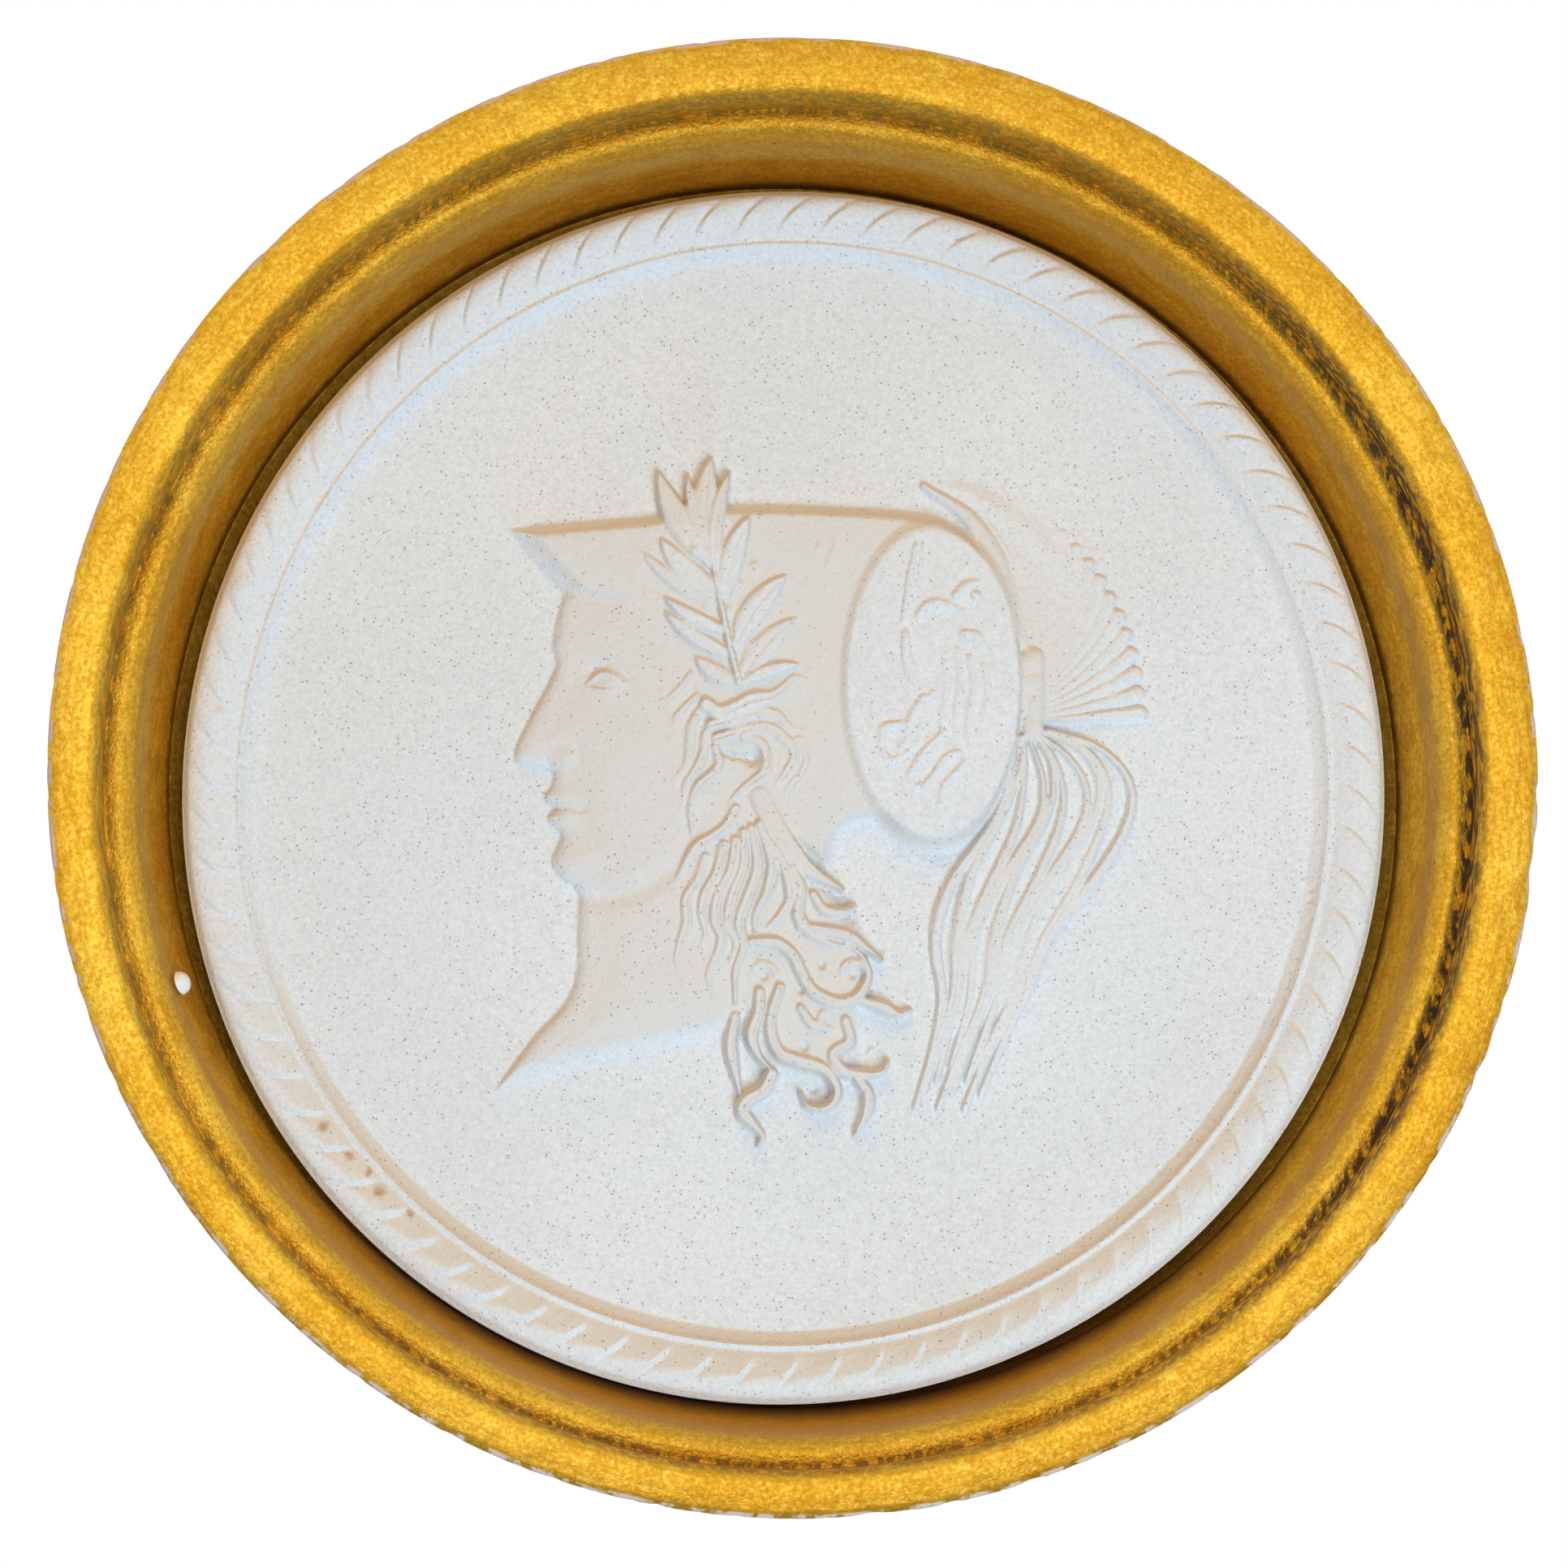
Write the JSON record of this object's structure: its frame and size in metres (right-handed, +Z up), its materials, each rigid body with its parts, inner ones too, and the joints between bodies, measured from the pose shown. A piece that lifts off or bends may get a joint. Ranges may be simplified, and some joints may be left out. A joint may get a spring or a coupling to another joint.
{
  "type": "framed relief medallion",
  "caption": "Round white plaster medallion with a helmeted bust in low relief and a leafy border, set deep in a turned gilded frame, to hang on a wall.",
  "frame": {"origin": "centre of the frame's flat back, where it lies on the wall", "axes": "+Z up, the plaque faces -Y, +X to the right of someone who looks at it"},
  "size_m": [0.3614, 0.04, 0.3614],
  "materials": {
    "gilded_wood": "water-gilded gesso on wood, worn at the edges, with dark patina in the groove",
    "plaster": "matt cast plaster with a fine sandy grain and small air holes",
    "white_pin": "smooth white"
  },
  "bodies": {
    "root": {"frame": "gilded_wood", "medallion": "plaster", "stud": "white_pin"}
  },
  "joints": []
}
